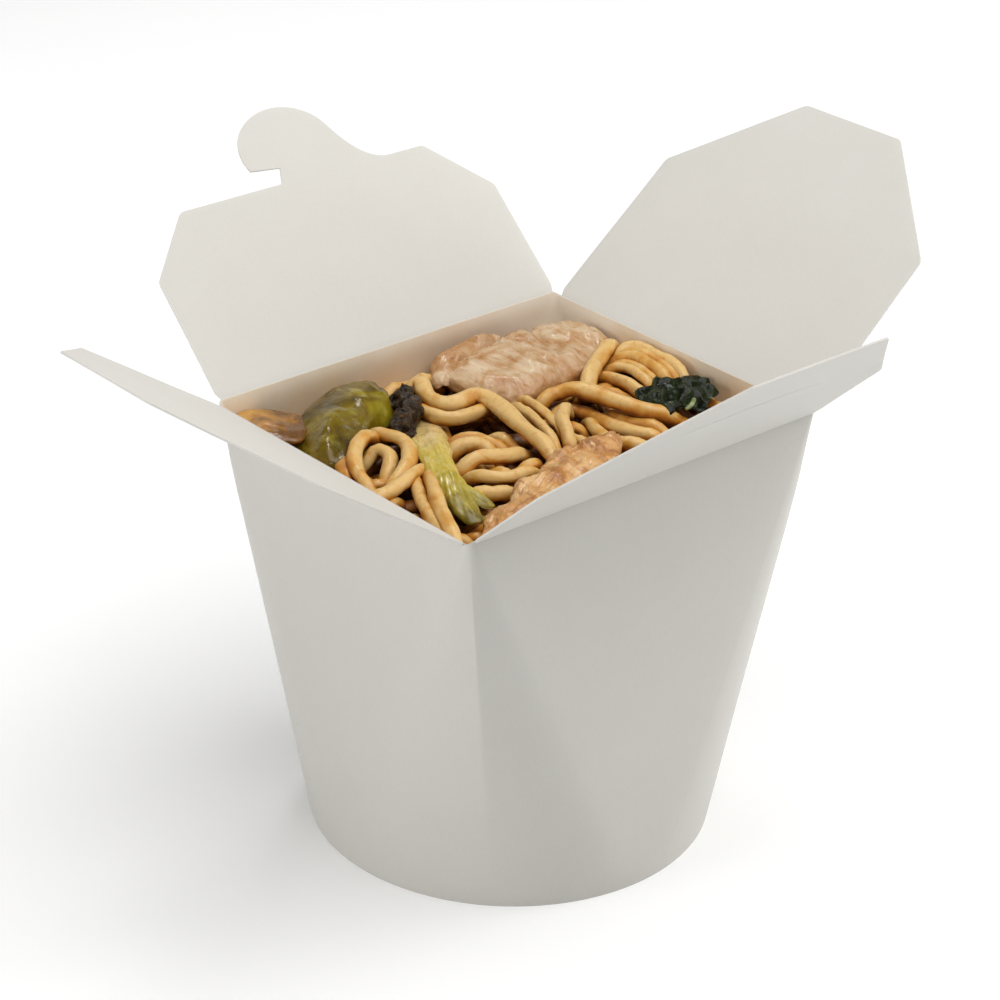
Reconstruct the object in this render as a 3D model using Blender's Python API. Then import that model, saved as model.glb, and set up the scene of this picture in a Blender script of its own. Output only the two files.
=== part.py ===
"""A paper noodle box, square at the top and round at the base, with four flaps folded open.

The box is full of fried noodles with pieces of pepper, mushroom, leek, spinach and chicken.
Sizes are in millimetres, and MM turns them into Blender's metres.
+Z is up, and the flap with the tongue is on the +Y side. The shapes are made about the box's own
axis, then moved together so that the origin lies on the ground under the middle of the open flaps.
"""
import math

import bmesh
import bpy
from mathutils import Matrix, Vector, noise

MM = 0.001

# The box
rim_length = 100.0  # along X
rim_width = 86.2  # along Y
rim_corner_radius = 1.6
base_radius = 46.8
paper = 0.45  # thickness of the board
gap = 0.3  # clearance between neighbouring pieces
corner_steps = 9
side_steps = 5
side_share = 12.0  # degrees of the round base under each flat side
wall_levels = 4

# Fold lines: the side flaps fold in first, so theirs lie lower by one board and a clearance
side_fold_height = 99.4
end_fold_height = 100.2
fold_clearance = paper  # wall and flap both stop this far from the fold line

# The base: a disc with a skirt, held in the hem that the wall makes as it folds in
disc_height = 6.0
skirt_inset = 1.1
hem_height = 4.6
hem_gap = 0.4  # round the skirt in its channel
base_steps = 56

box_place = (1.855, -0.805)  # where the box's axis stands, as the open flaps don't reach out evenly

# The food
food_gap = 0.4  # between the food and the wall
food_top = 93.0
back_rise = 2.6  # the heap stands higher against the two back walls
rise_start = 0.25  # how far before the middle it starts to rise
relief_cell = 2.5
relief_overhang = 4.0  # how much larger than the rim the relief starts, before the wall trims it
mound_height = 1.2
mound_scale = 0.06
strand_radius = 2.2
strand_count = 34
strand_spread = (46.0, 39.0)  # how far from the middle the strands lie, along X and Y
strand_turn = 137.5  # degrees round the heap from one strand to the next
strand_sweep = 150.0
strand_curl = (7.0, 13.0)  # least and greatest radius of a strand's arc
strand_lift = 1.2
bed_margin = 0.55  # room that each topping has in the bed under it
bed_points = 10
bed_drop = 1.2  # how far the heap stays below the middle of a topping at its side
bed_slope = 1.4  # how steeply the heap rises beside a topping

paper_color = (0.80, 0.78, 0.73)
noodle_color = (0.62, 0.36, 0.12)


def make_material(name, color, roughness):
    """A plain material of one colour."""
    material = bpy.data.materials.new(name)
    material.use_nodes = True
    shader = material.node_tree.nodes["Principled BSDF"]
    shader.inputs["Base Color"].default_value = (*color, 1.0)
    shader.inputs["Roughness"].default_value = roughness
    shader.inputs["Metallic"].default_value = 0.0
    return material


def make_object(name, bm, material, smooth_angle=35.0):
    """Closes the bmesh, given in millimetres, into an object in metres."""
    bmesh.ops.scale(bm, vec=(MM, MM, MM), verts=bm.verts)
    bmesh.ops.recalc_face_normals(bm, faces=bm.faces)
    mesh = bpy.data.meshes.new(name)
    bm.to_mesh(mesh)
    bm.free()
    mesh.materials.append(material)
    mesh.shade_smooth()
    mesh.set_sharp_from_angle(angle=math.radians(smooth_angle))
    obj = bpy.data.objects.new(name, mesh)
    bpy.context.scene.collection.objects.link(obj)
    return obj


def make_cutter(obj):
    """Keeps a shape that only cuts others out of the finished object."""
    obj.hide_render = True
    obj.display_type = "WIRE"
    return obj


def add_boolean(obj, cutter, operation):
    """Cuts or trims an object with another."""
    modifier = obj.modifiers.new(f"{operation} {cutter.name}", "BOOLEAN")
    modifier.operation = operation
    modifier.object = cutter
    modifier.solver = "EXACT"


# ---- the box ----

def box_outline(level, inset=0.0):
    """Points round the box and the share of each that faces +Y or -Y.

    level runs from 0 at the round base to 1 at the rim. Straight lines join the two, as they do
    in bent paper: each rim corner fans out to a quarter of the base.
    """
    radius = rim_corner_radius - inset
    half = Vector((rim_length / 2 - inset, rim_width / 2 - inset))
    signs = ((1, 1), (-1, 1), (-1, -1), (1, -1))
    points = []

    def add(rim, base_angle, facing):
        base = Vector((math.cos(base_angle), math.sin(base_angle))) * (base_radius - inset)
        points.append((base.lerp(rim, level), facing))

    for quarter, sign in enumerate(signs):
        start = 90.0 * quarter
        centre = Vector((sign[0] * (half.x - radius), sign[1] * (half.y - radius)))
        for step in range(corner_steps + 1):
            turn = step / corner_steps
            angle = math.radians(start + 90.0 * turn)
            rim = centre + radius * Vector((math.cos(angle), math.sin(angle)))
            base_angle = math.radians(start + side_share / 2 + (90.0 - side_share) * turn)
            add(rim, base_angle, math.sin(angle) ** 2)
        following = signs[(quarter + 1) % 4]
        next_centre = Vector((following[0] * (half.x - radius), following[1] * (half.y - radius)))
        end = math.radians(start + 90.0)
        outward = radius * Vector((math.cos(end), math.sin(end)))
        for step in range(1, side_steps):
            share = step / side_steps
            rim = (centre + outward).lerp(next_centre + outward, share)
            base_angle = math.radians(start + 90.0 + side_share * (share - 0.5))
            add(rim, base_angle, math.sin(end) ** 2)
    return points


def wall_ring(level, inset, floor):
    """One level of the wall, whose top edge steps down along the side flaps."""
    ring = []
    for point, facing in box_outline(level, inset):
        top = side_fold_height + (end_fold_height - side_fold_height) * facing - fold_clearance
        ring.append(Vector((point.x, point.y, floor + (top - floor) * level)))
    return ring


def base_ring(inset, height):
    """A circle of the hem, with the same number of points as the wall."""
    return [Vector((point.x, point.y, height)) for point, facing in box_outline(0.0, inset)]


def skin_rings(bm, rings, closed):
    """Joins rings of equal length with faces, and the last to the first where closed."""
    loops = [[bm.verts.new(point) for point in ring] for ring in rings]
    pairs = list(zip(loops, loops[1:]))
    if closed:
        pairs.append((loops[-1], loops[0]))
    for lower, upper in pairs:
        for index in range(len(lower)):
            following = (index + 1) % len(lower)
            bm.faces.new((lower[index], lower[following], upper[following], upper[index]))
    return loops


def make_wall(material):
    """The tapered wall with a hem that folds in at the base and leaves a channel."""
    levels = [index / wall_levels for index in range(wall_levels + 1)]
    rings = [wall_ring(level, 0.0, 0.0) for level in levels]
    rings += [wall_ring(level, paper, paper) for level in reversed(levels)]
    hem_outer = skirt_inset + paper + hem_gap
    rings.append(base_ring(hem_outer, paper))
    rings.append(base_ring(hem_outer, hem_height))
    rings.append(base_ring(hem_outer + paper, hem_height))
    rings.append(base_ring(hem_outer + paper, 0.0))
    bm = bmesh.new()
    skin_rings(bm, rings, closed=True)
    return make_object("box_wall", bm, material)


def make_base_disc(material):
    """The raised base with its skirt, turned about the box's axis."""
    radius = base_radius - skirt_inset
    skirt_end = paper + gap
    profile = (
        (0.0, disc_height + paper),
        (radius, disc_height + paper),
        (radius, skirt_end),
        (radius - paper, skirt_end),
        (radius - paper, disc_height),
        (0.0, disc_height),
    )
    bm = bmesh.new()
    verts = [bm.verts.new((distance, 0.0, height)) for distance, height in profile]
    edges = [bm.edges.new(pair) for pair in zip(verts, verts[1:])]
    bmesh.ops.spin(bm, geom=verts + edges, cent=(0, 0, 0), axis=(0, 0, 1),
                   angle=math.tau, steps=base_steps, use_merge=True)
    bmesh.ops.remove_doubles(bm, verts=bm.verts, dist=0.001)
    return make_object("base_disc", bm, material)


# ---- the flaps ----
# A flap lies in its own XY plane with the fold along X, and reaches out along +Y.

flap_root = fold_clearance

side_flap = dict(root=41.1, shoulder=41.1, shoulder_reach=42.7, tip=14.9, tip_reach=68.6)
tab_flap = dict(root=48.6, shoulder=48.9, shoulder_reach=30.3, tip=35.2, tip_reach=44.9)
slot_flap = dict(root=48.6, shoulder=48.8, shoulder_reach=25.0, tip=19.2, tip_reach=61.7)
relief_width = 0.8  # the nick at each end of the fold, so that the flap clears the rim's corners
relief_reach = 1.9

tongue_half_width = 13.4
tongue_centre = 53.0
tongue_rise = 10.9
hook_start = -17.0  # degrees round the tongue's oval, from its hooked side
hook_end = 157.0
hook_throat = (-5.0, 48.8)
notch_side = (-6.7, 44.9)
fillet_start = (25.0, 44.9)  # where the tongue runs out into the flap's edge
fillet_handles = ((18.0, 45.3), (2.6, -5.6))  # the first as a place, the second from the tongue
tongue_steps = 16
fillet_steps = 6
corner_rounding = 0.8

slit_reach = 40.0
slit_half_length = 20.0
slit_sag = 2.2
slit_width = 1.0
slit_steps = 10
blade_thickness = 1.8
same_place = 0.01


def flap_edge(shape, tongue=()):
    """The flap's outline, anticlockwise from the fold, with a tongue on its far edge."""
    waist = shape["root"] + relief_width
    outline = [(-waist, relief_reach), (-shape["root"], flap_root)]
    outline += [(shape["root"], flap_root), (waist, relief_reach)]
    outline.append((shape["shoulder"], shape["shoulder_reach"]))
    outline.append((shape["tip"], shape["tip_reach"]))
    outline += tongue
    outline.append((-shape["tip"], shape["tip_reach"]))
    outline.append((-shape["shoulder"], shape["shoulder_reach"]))
    return outline


def tongue_edge():
    """The hooked tongue, from its fillet at +X round to the notch at -X."""
    hook = []
    for step in range(tongue_steps + 1):
        angle = math.radians(hook_end + (hook_start - hook_end) * step / tongue_steps)
        x = -tongue_half_width * math.cos(angle)
        hook.append((x, tongue_centre + tongue_rise * math.sin(angle)))
    start = Vector(fillet_start)
    handle_one = Vector(fillet_handles[0])
    finish = Vector(hook[0])
    handle_two = finish + Vector(fillet_handles[1])
    edge = []
    for step in range(fillet_steps):
        t = step / fillet_steps
        point = start * (1 - t) ** 3 + handle_one * 3 * t * (1 - t) ** 2
        point += handle_two * 3 * t * t * (1 - t) + finish * t ** 3
        edge.append(tuple(point))
    return edge + hook + [hook_throat, notch_side]


def make_plate(outline, thickness):
    """A flat plate of a given outline, centred on its own plane."""
    bm = bmesh.new()
    verts = [bm.verts.new((x, y, -thickness / 2)) for x, y in outline]
    face = bm.faces.new(verts)
    raised = bmesh.ops.extrude_face_region(bm, geom=[face])["geom"]
    top = [item for item in raised if isinstance(item, bmesh.types.BMVert)]
    bmesh.ops.translate(bm, vec=(0, 0, thickness), verts=top)
    return bm


def make_flap(name, shape, side, raised, material, tongue=()):
    """A flap on its fold line. side is its compass angle and raised its angle above level."""
    bm = make_plate(flap_edge(shape, tongue), paper)
    corners = [edge for edge in bm.edges if is_outer_corner(edge, shape)]
    bmesh.ops.bevel(bm, geom=corners, offset=corner_rounding, segments=2, profile=0.5,
                    affect="EDGES", material=-1)
    obj = make_object(name, bm, material)
    on_side = side % 180.0 == 0.0
    distance = rim_length / 2 if on_side else rim_width / 2
    height = side_fold_height if on_side else end_fold_height
    turn = Matrix.Rotation(math.radians(side - 90.0), 4, "Z")
    lift = Matrix.Rotation(math.radians(raised), 4, "X")
    place = turn @ Matrix.Translation((0, distance * MM, height * MM))
    obj.matrix_world = place @ lift
    return obj


def is_outer_corner(edge, shape):
    """Whether an edge stands at one of the flap's four outer corners."""
    low, high = (vert.co for vert in edge.verts)
    if abs(low.z - high.z) < paper / 2:
        return False
    corners = ((shape["shoulder"], shape["shoulder_reach"]), (shape["tip"], shape["tip_reach"]))
    return any(abs(abs(low.x) - x) < same_place and abs(low.y - y) < same_place
               for x, y in corners)


def make_slit_cutter(flap, material):
    """A thin curved blade that cuts the slit for the tongue."""
    near = []
    far = []
    for step in range(slit_steps + 1):
        share = 2.0 * step / slit_steps - 1.0
        x = slit_half_length * share
        y = slit_reach - slit_sag * share * share
        near.append((x, y - slit_width / 2))
        far.append((x, y + slit_width / 2))
    bm = make_plate(near + far[::-1], blade_thickness)
    blade = make_cutter(make_object("slit_blade", bm, material))
    blade.matrix_world = flap.matrix_world
    return blade


# ---- the food ----

toppings = {
    "pepper": dict(
        path=((-11.0, 35.8, 94.4), (-25.4, 29.4, 95.2), (-40.5, 14.0, 92.6)),
        width=19.0, thickness=5.6, arch=3.4, blunt=2.6, lump=0.5,
        color=(0.20, 0.21, 0.035), roughness=0.25),
    "mushroom": dict(
        path=((-7.0, 31.5, 94.2), (-13.6, 21.4, 94.8), (-22.5, 11.5, 93.6)),
        width=6.6, thickness=4.6, arch=0.4, blunt=2.6, lump=0.9,
        color=(0.025, 0.022, 0.018), roughness=0.3),
    "leek": dict(
        path=((-15.0, 12.0, 94.4), (-25.5, -7.0, 94.9), (-36.0, -27.0, 92.4)),
        width=8.2, thickness=3.4, arch=1.6, blunt=3.4, lump=0.3,
        color=(0.45, 0.46, 0.13), roughness=0.3),
    "chicken_back": dict(
        path=((4.0, 26.0, 93.4), (25.2, 27.4, 94.6), (46.6, 29.0, 93.6)),
        width=28.0, thickness=7.4, arch=1.6, blunt=2.4, lump=1.1,
        color=(0.58, 0.36, 0.21), roughness=0.45),
    "chicken_front": dict(
        path=((-41.5, -37.6, 92.0), (-15.5, -27.6, 94.2), (14.0, -15.0, 94.4)),
        width=14.0, thickness=4.2, arch=0.8, blunt=3.0, lump=0.6,
        color=(0.60, 0.34, 0.15), roughness=0.45),
    "spinach": dict(
        path=((30.6, -7.0, 95.0), (39.1, -10.0, 96.3), (48.0, -11.5, 96.2)),
        width=15.0, thickness=2.0, arch=1.4, blunt=2.4, lump=0.9,
        color=(0.012, 0.035, 0.012), roughness=0.3),
    "carrot": dict(
        path=((-47.0, 38.4, 95.2), (-42.6, 34.4, 95.6), (-37.6, 30.6, 94.6)),
        width=9.0, thickness=2.6, arch=0.3, blunt=3.4, lump=0.2,
        color=(0.52, 0.27, 0.07), roughness=0.3),
}
topping_steps = 13
topping_sides = 12
lump_scale = 0.16
tangent_step = 0.01


def curve_point(path, t):
    """A point on the even curve through the start, middle and end of a path."""
    start, middle, end = (Vector(point) for point in path)
    point = start * (2 * t - 1) * (t - 1)
    point += middle * 4 * t * (1 - t)
    return point + end * t * (2 * t - 1)


def topping_fullness(shape, t):
    """How wide a topping is along its path, from 0 at both ends to 1 in the middle."""
    return (1.0 - abs(2.0 * t - 1.0) ** shape["blunt"]) ** (1.0 / shape["blunt"])


def topping_ring(shape, t, margin, stretch):
    """One cross-section of a topping: an oval that droops at its sides by its arch."""
    place = 0.5 + (t - 0.5) * stretch
    ahead = curve_point(shape["path"], place + tangent_step)
    forward = (ahead - curve_point(shape["path"], place - tangent_step)).normalized()
    aside = Vector((0, 0, 1)).cross(forward).normalized()
    up = forward.cross(aside)
    fullness = topping_fullness(shape, t)
    half_width = shape["width"] / 2 * fullness
    half_thickness = shape["thickness"] / 2 * fullness
    ring = []
    for index in range(topping_sides):
        angle = math.tau * index / topping_sides
        across = math.cos(angle)
        droop = shape["arch"] * fullness * across * across
        point = curve_point(shape["path"], place)
        lump = shape["lump"] * noise.noise((point + aside * across * half_width) * lump_scale)
        point += aside * across * (half_width + margin)
        point += up * (math.sin(angle) * (half_thickness + margin) + lump - droop)
        ring.append(point)
    return ring


def make_topping(name, shape, material, margin=0.0):
    """A topping swept along its path, or with a margin the bed it lies in."""
    reach = (Vector(shape["path"][2]) - Vector(shape["path"][0])).length
    stretch = 1.0 + 2.0 * margin / reach
    rings = []
    for index in range(1, topping_steps):
        t = 0.5 - 0.5 * math.cos(math.pi * index / topping_steps)
        rings.append(topping_ring(shape, t, margin, stretch))
    bm = bmesh.new()
    loops = skin_rings(bm, rings, closed=False)
    for loop, end in ((loops[0], -0.5), (loops[-1], 0.5)):
        pole = bm.verts.new(curve_point(shape["path"], 0.5 + end * stretch))
        for index in range(topping_sides):
            bm.faces.new((pole, loop[index], loop[(index + 1) % topping_sides]))
    return make_object(name, bm, material, smooth_angle=60.0)


def strand_arcs():
    """Noodles that lie in the top of the heap, as short arcs spread in a sunflower pattern."""
    arcs = []
    for index in range(strand_count):
        spread = math.sqrt((index + 0.5) / strand_count)
        around = index * math.radians(strand_turn)
        centre = Vector((strand_spread[0] * math.cos(around), strand_spread[1] * math.sin(around)))
        centre *= spread
        radius = strand_curl[0] + (strand_curl[1] - strand_curl[0]) * (index * 0.618 % 1.0)
        start = math.tau * (index * 0.382 % 1.0)
        height = heap_level(centre) + strand_lift * math.sin(index * 2.1)
        arcs.append((centre, radius, start, math.radians(strand_sweep), height))
    return arcs


def heap_level(place):
    """The mean height of the heap, which leans up towards the corner of +X and +Y."""
    back = place.x / rim_length + place.y / rim_width
    return food_top + back_rise * min(max(back + rise_start, 0.0), 1.0)


def bed_line(shape):
    """Points along a topping's path, with its half width at each."""
    line = []
    for index in range(bed_points + 1):
        t = index / bed_points
        half_width = shape["width"] / 2 * topping_fullness(shape, t)
        line.append((curve_point(shape["path"], t), half_width))
    return line


def heap_height(x, y, arcs, beds):
    """The height of the heap: a low uneven mound with the round backs of noodles on it."""
    place = Vector((x, y))
    height = heap_level(place) - strand_radius
    height += mound_height * noise.noise(Vector((x, y, 0.0)) * mound_scale)
    for centre, radius, start, sweep, top in arcs:
        offset = place - centre
        turned = (math.atan2(offset.y, offset.x) - start) % math.tau
        away = abs(offset.length - radius)
        if turned < sweep and away < strand_radius:
            back = math.sqrt(strand_radius ** 2 - away ** 2) - strand_radius
            height = max(height, top + back)
    for middle, half_width in beds:
        beside = max((place - middle.xy).length - half_width, 0.0)
        height = min(height, middle.z - bed_drop + bed_slope * beside)
    return height


def make_heap(material, plain):
    """The noodles as one heap that fills the box and bears the beds of the toppings."""
    arcs = strand_arcs()
    beds = [sample for shape in toppings.values() for sample in bed_line(shape)]
    bm = bmesh.new()
    across = math.ceil((rim_length + relief_overhang) / relief_cell)
    deep = math.ceil((rim_width + relief_overhang) / relief_cell)
    grid = Matrix.Diagonal((across * relief_cell / 2, deep * relief_cell / 2, 1.0, 1.0))
    bmesh.ops.create_grid(bm, x_segments=across, y_segments=deep, size=1.0, matrix=grid)
    top = list(bm.verts)
    lower = bmesh.ops.extrude_face_region(bm, geom=list(bm.faces), use_keep_orig=True)["geom"]
    for vert in top:
        vert.co.z = heap_height(vert.co.x, vert.co.y, arcs, beds)
    for item in lower:
        if isinstance(item, bmesh.types.BMVert):
            item.co.z = 0.0
    heap = make_object("noodles", bm, material, smooth_angle=50.0)
    add_boolean(heap, make_filling(plain), "INTERSECT")
    for name, shape in toppings.items():
        bed = make_cutter(make_topping(f"{name}_bed", shape, plain, bed_margin))
        add_boolean(heap, bed, "DIFFERENCE")
    return heap


def make_filling(material):
    """The room inside the box, from the base disc up past the food."""
    floor = disc_height + paper + gap
    rings = []
    for index in range(wall_levels + 1):
        height = floor + (end_fold_height - floor) * index / wall_levels
        outline = box_outline(height / end_fold_height, paper + food_gap)
        rings.append([Vector((point.x, point.y, height)) for point, facing in outline])
    bm = bmesh.new()
    loops = skin_rings(bm, rings, closed=False)
    bm.faces.new(loops[0])
    bm.faces.new(loops[-1])
    return make_cutter(make_object("filling", bm, material))


def main():
    for obj in list(bpy.data.objects):
        bpy.data.objects.remove(obj, do_unlink=True)
    board = make_material("board", paper_color, 0.55)
    plain = make_material("cutter", (0.5, 0.5, 0.5), 0.5)

    make_wall(board)
    make_base_disc(make_material("base_board", paper_color, 0.55))
    make_flap("flap_right", side_flap, 0.0, 39.4, make_material("flap_right", paper_color, 0.55))
    make_flap("flap_tab", tab_flap, 90.0, 42.8, make_material("flap_tab", paper_color, 0.55),
              tongue_edge())
    make_flap("flap_left", side_flap, 180.0, 34.2, make_material("flap_left", paper_color, 0.55))
    slot = make_flap("flap_slot", slot_flap, 270.0, 42.8,
                     make_material("flap_slot", paper_color, 0.55))
    add_boolean(slot, make_slit_cutter(slot, plain), "DIFFERENCE")

    make_heap(make_material("noodles", noodle_color, 0.35), plain)
    for name, shape in toppings.items():
        make_topping(name, shape, make_material(name, shape["color"], shape["roughness"]))

    place = Matrix.Translation((box_place[0] * MM, box_place[1] * MM, 0.0))
    for obj in bpy.data.objects:
        obj.matrix_world = place @ obj.matrix_world


main()
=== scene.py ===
import math
import random

import bmesh
import bpy
import numpy as np
from mathutils import Matrix, Vector, noise


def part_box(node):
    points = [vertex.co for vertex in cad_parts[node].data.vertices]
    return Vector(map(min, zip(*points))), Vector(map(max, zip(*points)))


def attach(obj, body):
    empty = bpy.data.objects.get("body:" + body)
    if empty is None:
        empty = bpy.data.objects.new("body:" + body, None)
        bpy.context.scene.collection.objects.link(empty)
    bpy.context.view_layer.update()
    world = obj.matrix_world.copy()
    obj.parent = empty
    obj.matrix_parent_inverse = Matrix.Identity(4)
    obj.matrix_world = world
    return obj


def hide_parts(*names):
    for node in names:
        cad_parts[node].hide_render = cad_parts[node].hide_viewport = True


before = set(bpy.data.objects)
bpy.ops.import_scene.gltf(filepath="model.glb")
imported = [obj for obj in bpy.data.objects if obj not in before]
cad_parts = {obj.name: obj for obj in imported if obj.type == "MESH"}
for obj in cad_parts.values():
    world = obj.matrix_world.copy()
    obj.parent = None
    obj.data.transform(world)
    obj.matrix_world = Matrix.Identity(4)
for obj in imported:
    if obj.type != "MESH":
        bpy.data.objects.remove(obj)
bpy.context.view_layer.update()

mm = 0.001
wallLow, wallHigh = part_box("box_wall")
boxPlace = Vector(((wallLow.x + wallHigh.x) / 2, (wallLow.y + wallHigh.y) / 2, 0.0))


# ---- helpers: every shape is in millimetres about the box's own axis until it is finished ----

def newObject(name, bm, materials):
    mesh = bpy.data.meshes.new(name)
    bm.to_mesh(mesh)
    bm.free()
    for material in materials:
        mesh.materials.append(material)
    made = bpy.data.objects.new(name, mesh)
    bpy.context.scene.collection.objects.link(made)
    return made


def finishPiece(name, bm, materials, body="root", angle=40.0, recalc=True):
    place = Matrix.Translation(boxPlace) @ Matrix.Scale(mm, 4)
    bmesh.ops.transform(bm, matrix=place, verts=bm.verts)
    if recalc:
        bmesh.ops.recalc_face_normals(bm, faces=bm.faces)
    piece = newObject(name, bm, materials)
    piece.data.shade_smooth()
    piece.data.set_sharp_from_angle(angle=math.radians(angle))
    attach(piece, body)
    return piece


def ringAngles(ring):
    return [math.degrees(math.atan2(vert.co.y, vert.co.x)) % 360.0 for vert in ring]


def extrudeRing(bm, ring, edges):  # one more row of faces, its verts in the old ring's order
    known = set(ring)
    made = bmesh.ops.extrude_edge_only(bm, edges=edges)["geom"]
    faces = [item for item in made if isinstance(item, bmesh.types.BMFace)]
    edges = [item for item in made if isinstance(item, bmesh.types.BMEdge)
             and not known.intersection(item.verts)]
    partner = {}
    for edge in (edge for face in faces for edge in face.edges):
        old = known.intersection(edge.verts)
        if len(old) == 1:
            source = old.pop()
            partner[source] = edge.other_vert(source)
    return [partner[vert] for vert in ring], edges, faces


def smoothStep(low, high, value):
    share = min(max((value - low) / (high - low), 0.0), 1.0)
    return share * share * (3.0 - 2.0 * share)


def signedPower(value, power):
    return math.copysign(abs(value) ** power, value)


# ---- material helpers: noise sizes and bump depths are in millimetres ----

def feed(tree, socket, value):
    if isinstance(value, bpy.types.NodeSocket):
        tree.links.new(value, socket)
    elif isinstance(value, tuple):
        socket.default_value = (*value, 1.0)
    else:
        socket.default_value = value


def setShader(tree, **sockets):
    shader = tree.nodes["Principled BSDF"]
    for socket, value in sockets.items():
        feed(tree, shader.inputs[socket.replace("_", " ")], value)


def startMaterial(name, **sockets):
    material = bpy.data.materials.new(name)
    material.use_nodes = True
    setShader(material.node_tree, **sockets)
    return material, material.node_tree


def placeNode(tree):
    return tree.nodes.new("ShaderNodeTexCoord").outputs["Object"]


def noiseNode(tree, size, detail=3.0, warp=0.0, stretch=(1, 1, 1), turn=0.0):
    mapping = tree.nodes.new("ShaderNodeMapping")
    mapping.inputs["Scale"].default_value = stretch
    mapping.inputs["Rotation"].default_value = (0, 0, math.radians(turn))
    mapping.inputs["Location"].default_value = (size * 0.013, size * 0.029, size * 0.007)
    texture = tree.nodes.new("ShaderNodeTexNoise")
    texture.inputs["Scale"].default_value = 1.0 / (size * mm)
    texture.inputs["Detail"].default_value = detail
    texture.inputs["Distortion"].default_value = warp
    tree.links.new(placeNode(tree), mapping.inputs["Vector"])
    tree.links.new(mapping.outputs["Vector"], texture.inputs["Vector"])
    return texture.outputs["Fac"]


def rampNode(tree, value, *stops):
    ramp = tree.nodes.new("ShaderNodeValToRGB")
    elements = ramp.color_ramp.elements
    while len(elements) < len(stops):
        elements.new(0.5)
    for element, (position, color) in zip(elements, stops):
        element.position = position
        element.color = (*color, 1.0) if isinstance(color, tuple) else (color, color, color, 1.0)
    tree.links.new(value, ramp.inputs["Fac"])
    return ramp.outputs["Color"]


def mixNode(tree, factor, first, second, blend="MIX"):
    mix = tree.nodes.new("ShaderNodeMix")
    mix.data_type = "RGBA"
    mix.blend_type = blend
    for number, value in ((0, factor), (6, first), (7, second)):
        feed(tree, mix.inputs[number], value)
    return mix.outputs[2]


def mathNode(tree, operation, *values):
    node = tree.nodes.new("ShaderNodeMath")
    node.operation = operation
    for socket, value in zip(node.inputs, values):
        feed(tree, socket, value)
    return node.outputs[0]


def rangeNode(tree, value, low, high, outLow=0.0, outHigh=1.0):
    node = tree.nodes.new("ShaderNodeMapRange")
    node.interpolation_type = "SMOOTHSTEP"
    for socket, number in zip(node.inputs, (value, low, high, outLow, outHigh)):
        feed(tree, socket, number)
    return node.outputs[0]


def heightNode(tree):
    split = tree.nodes.new("ShaderNodeSeparateXYZ")
    tree.links.new(placeNode(tree), split.inputs[0])
    return split.outputs["Z"]


def attributeNode(tree, name):
    node = tree.nodes.new("ShaderNodeAttribute")
    node.attribute_name = name
    return node.outputs["Fac"]


def bumpNode(tree, height, depth, strength, under):
    bump = tree.nodes.new("ShaderNodeBump")
    bump.inputs["Distance"].default_value = depth * mm
    bump.inputs["Strength"].default_value = strength
    tree.links.new(height, bump.inputs["Height"])
    if under:
        tree.links.new(under, bump.inputs["Normal"])
    return bump.outputs["Normal"]


def coverWith(tree, color, gloss, *bumps):  # bumps: height, depth, strength
    normal = None
    for bump in bumps:
        normal = bumpNode(tree, *bump, normal)
    setShader(tree, Base_Color=color, Normal=normal)
    if gloss:  # a patchy roughness: noise size, detail, then the range
        size, detail, *span = gloss
        setShader(tree, Roughness=rangeNode(tree, noiseNode(tree, size, detail), *span))


def plainFood(name, finish):  # one patchy colour with a grain
    material, tree = startMaterial(name, **finish["shader"])
    color = rampNode(tree, noiseNode(tree, *finish["patch"]), *finish["stops"])
    coverWith(tree, color, finish.get("gloss"), (noiseNode(tree, *finish["grain"]), *finish["bump"]))
    return material


# ---- the board: uncoated white paperboard with a faint fibre and soft waves ----

boardFinish = dict(
    pale=(0.640, 0.622, 0.577), shade=(0.628, 0.610, 0.562),
    fibre=0.5, mottle=14.0, waves=38.0, roughness=0.55, outsideCoatShade=0.85)
# The sauce stain on the inner wall is partly painted light: its pale colour is lighter than the board
# to make up for shade, its tan stands in partly for light bounced off the food, and a painted lit spot
# brightens the shaded back corner.
stainAndLightFinish = dict(
    light=(0.88, 0.80, 0.67), deep=(0.74, 0.56, 0.37),
    start=0.1040, end=0.0900,  # heights of the stain's faint upper edge and full strength
    lean=(-4.6, -9.0, 0.0), even=0.42,  # the stain is stronger toward one side
    litSpot=(0.050, 0.036, 0.100), litSpotReach=(0.004, 0.020))  # and a painted lit spot, nearly free of stain, brightens the shaded back corner


def makeBoard(name, tone=1.0, withStainAndLight=False):
    material, tree = startMaterial(
        name, Roughness=boardFinish["roughness"], Specular_IOR_Level=0.35,
        Sheen_Weight=0.06, Sheen_Roughness=0.6)
    shade, pale = (tuple(value * tone for value in boardFinish[key]) for key in ("shade", "pale"))
    color = rampNode(tree, noiseNode(tree, boardFinish["mottle"], 4.0), (0.3, shade), (0.7, pale))
    fibre = noiseNode(tree, boardFinish["fibre"], 4.0, 0.6, (1.0, 1.0, 0.45))
    speckle = rampNode(tree, fibre, (0.32, 0.975), (0.62, 1.0))
    color = mixNode(tree, 1.0, color, speckle, "MULTIPLY")
    # the inner wall's sauce stain, partly painted light
    if withStainAndLight:
        color = mixNode(tree, 0.92, color, stainAndLightNode(tree))
    coverWith(tree, color, None, (noiseNode(tree, boardFinish["waves"], 1.0), 0.2, 0.5),
              (fibre, 0.012, 0.5))
    return material


# Sauce stain on the inner wall, partly painted light: lighter than the board to make up for shade, tan
# for light bounced off the food.
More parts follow.
